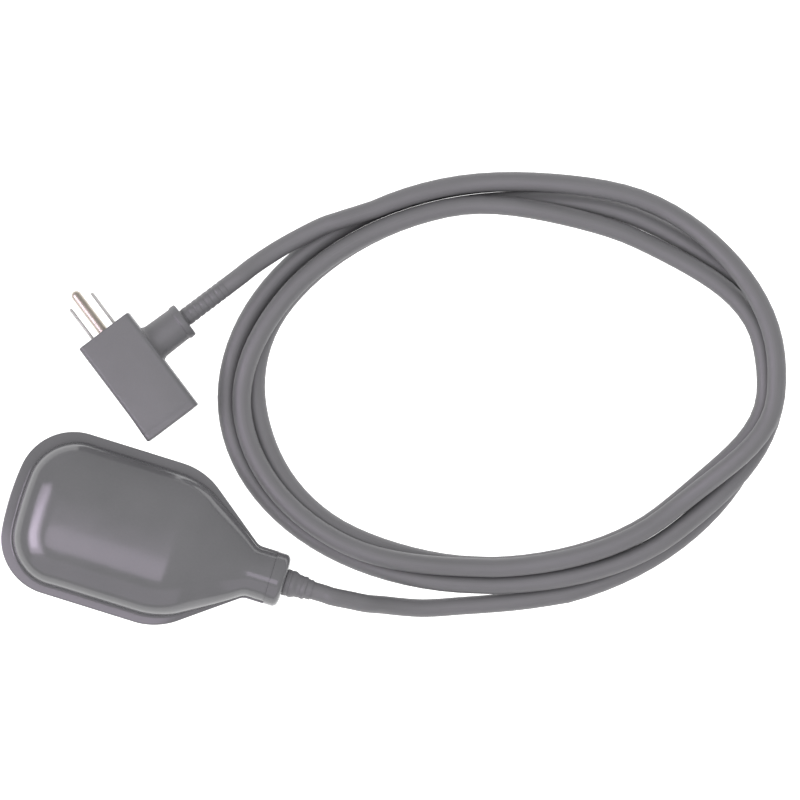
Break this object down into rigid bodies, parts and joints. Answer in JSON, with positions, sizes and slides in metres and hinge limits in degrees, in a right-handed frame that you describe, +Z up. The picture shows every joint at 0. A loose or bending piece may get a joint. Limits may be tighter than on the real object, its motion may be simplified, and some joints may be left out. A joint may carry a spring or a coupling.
{
  "type": "tethered cable float switch",
  "caption": "Sealed two-shell float with a rolling-ball switch inside, on a coiled grey cord that ends in a grounded piggyback plug with a socket in its back",
  "frame": {"origin": "the middle of the float's foot: the bottom centre of the float and its gland ring, measured without the cord, boot and plug", "axes": "+X runs along the float from its closed end to its cord, +Y is across the float towards the coil, +Z is up from the surface that the switch lies on"},
  "size_m": [0.337, 0.2658, 0.042],
  "materials": {
    "float_shell": "moulded mid grey polypropylene, low gloss",
    "cord_jacket": "extruded mid grey jacket, matte",
    "plug_moulding": "overmoulded mid grey vinyl, satin",
    "case_plastic": "natural white moulded plastic",
    "switch_plastic": "black phenolic",
    "plunger_plastic": "red acetal",
    "steel": "bright ground steel",
    "brass": "plain brass",
    "nickel": "nickel plated brass",
    "wire_dark": "black insulation",
    "wire_white": "white insulation"
  },
  "bodies": {
    "lead": {"cord_float_end": "cord_jacket", "cord_coil": "cord_jacket", "cord_plug_end": "cord_jacket", "plug_jacket": "plug_moulding", "plug_strain_relief": "plug_moulding", "blade_carrier": "plug_moulding", "line_blade": "nickel", "neutral_blade": "nickel", "ground_pin": "brass", "receptacle_insert": "plug_moulding", "line_contact": "brass", "neutral_contact": "brass", "ground_contact": "brass", "neutral_strap": "brass", "ground_strap": "brass", "plug_line_wire": "wire_dark", "plug_return_wire": "wire_white"},
    "float": {"float_upper_shell": "float_shell", "float_lower_shell": "float_shell", "gland_ring": "float_shell", "cable_seal": "cord_jacket", "clamp_washer": "steel", "strain_relief_boot": "cord_jacket", "cord_flex": "cord_jacket", "switch_case": "case_plastic", "switch_case_lid": "case_plastic", "case_screw_rear": "steel", "case_screw_front": "steel", "rocker_pin": "steel", "microswitch_base": "switch_plastic", "microswitch_cover": "switch_plastic", "closed_terminal": "brass", "common_terminal": "brass", "open_terminal": "brass", "common_wire": "wire_dark", "switched_wire": "wire_white"},
    "rocker": {"ball_rocker": "case_plastic"},
    "ball": {"steel_ball": "steel"},
    "plunger": {"switch_plunger": "plunger_plastic"},
    "leaf": {"snap_leaf": "nickel"}
  },
  "joints": [
    {"name": "float_swing", "type": "hinge", "parent": "lead", "child": "float", "pos_m": [0.086, 0, 0.0207], "axis": [0, 1, 0], "range_deg": [-45, 45], "deforming": ["strain_relief_boot", "cord_flex"]},
    {"name": "rocker_tilt", "type": "hinge", "parent": "float", "child": "rocker", "pos_m": [-0.01, 0, 0.0134], "axis": [0, 1, 0], "range_deg": [0, 7]},
    {"name": "ball_roll", "type": "slide", "parent": "rocker", "child": "ball", "axis": [0.9981, 0, 0.061], "range_m": [0, 0.027]},
    {"name": "plunger_press", "type": "slide", "parent": "float", "child": "plunger", "axis": [0, 0, -1], "range_m": [0, 0.00135]},
    {"name": "leaf_snap", "type": "hinge", "parent": "float", "child": "leaf", "pos_m": [0.009, 0.0106, 0.016], "axis": [0, -1, 0], "range_deg": [0, 9.65]}
  ],
  "couplings": [
    {"joint": "plunger_press", "follows": "rocker_tilt", "m_per_rad": 0.011},
    {"joint": "leaf_snap", "follows": "rocker_tilt", "ratio": 1.375}
  ]
}
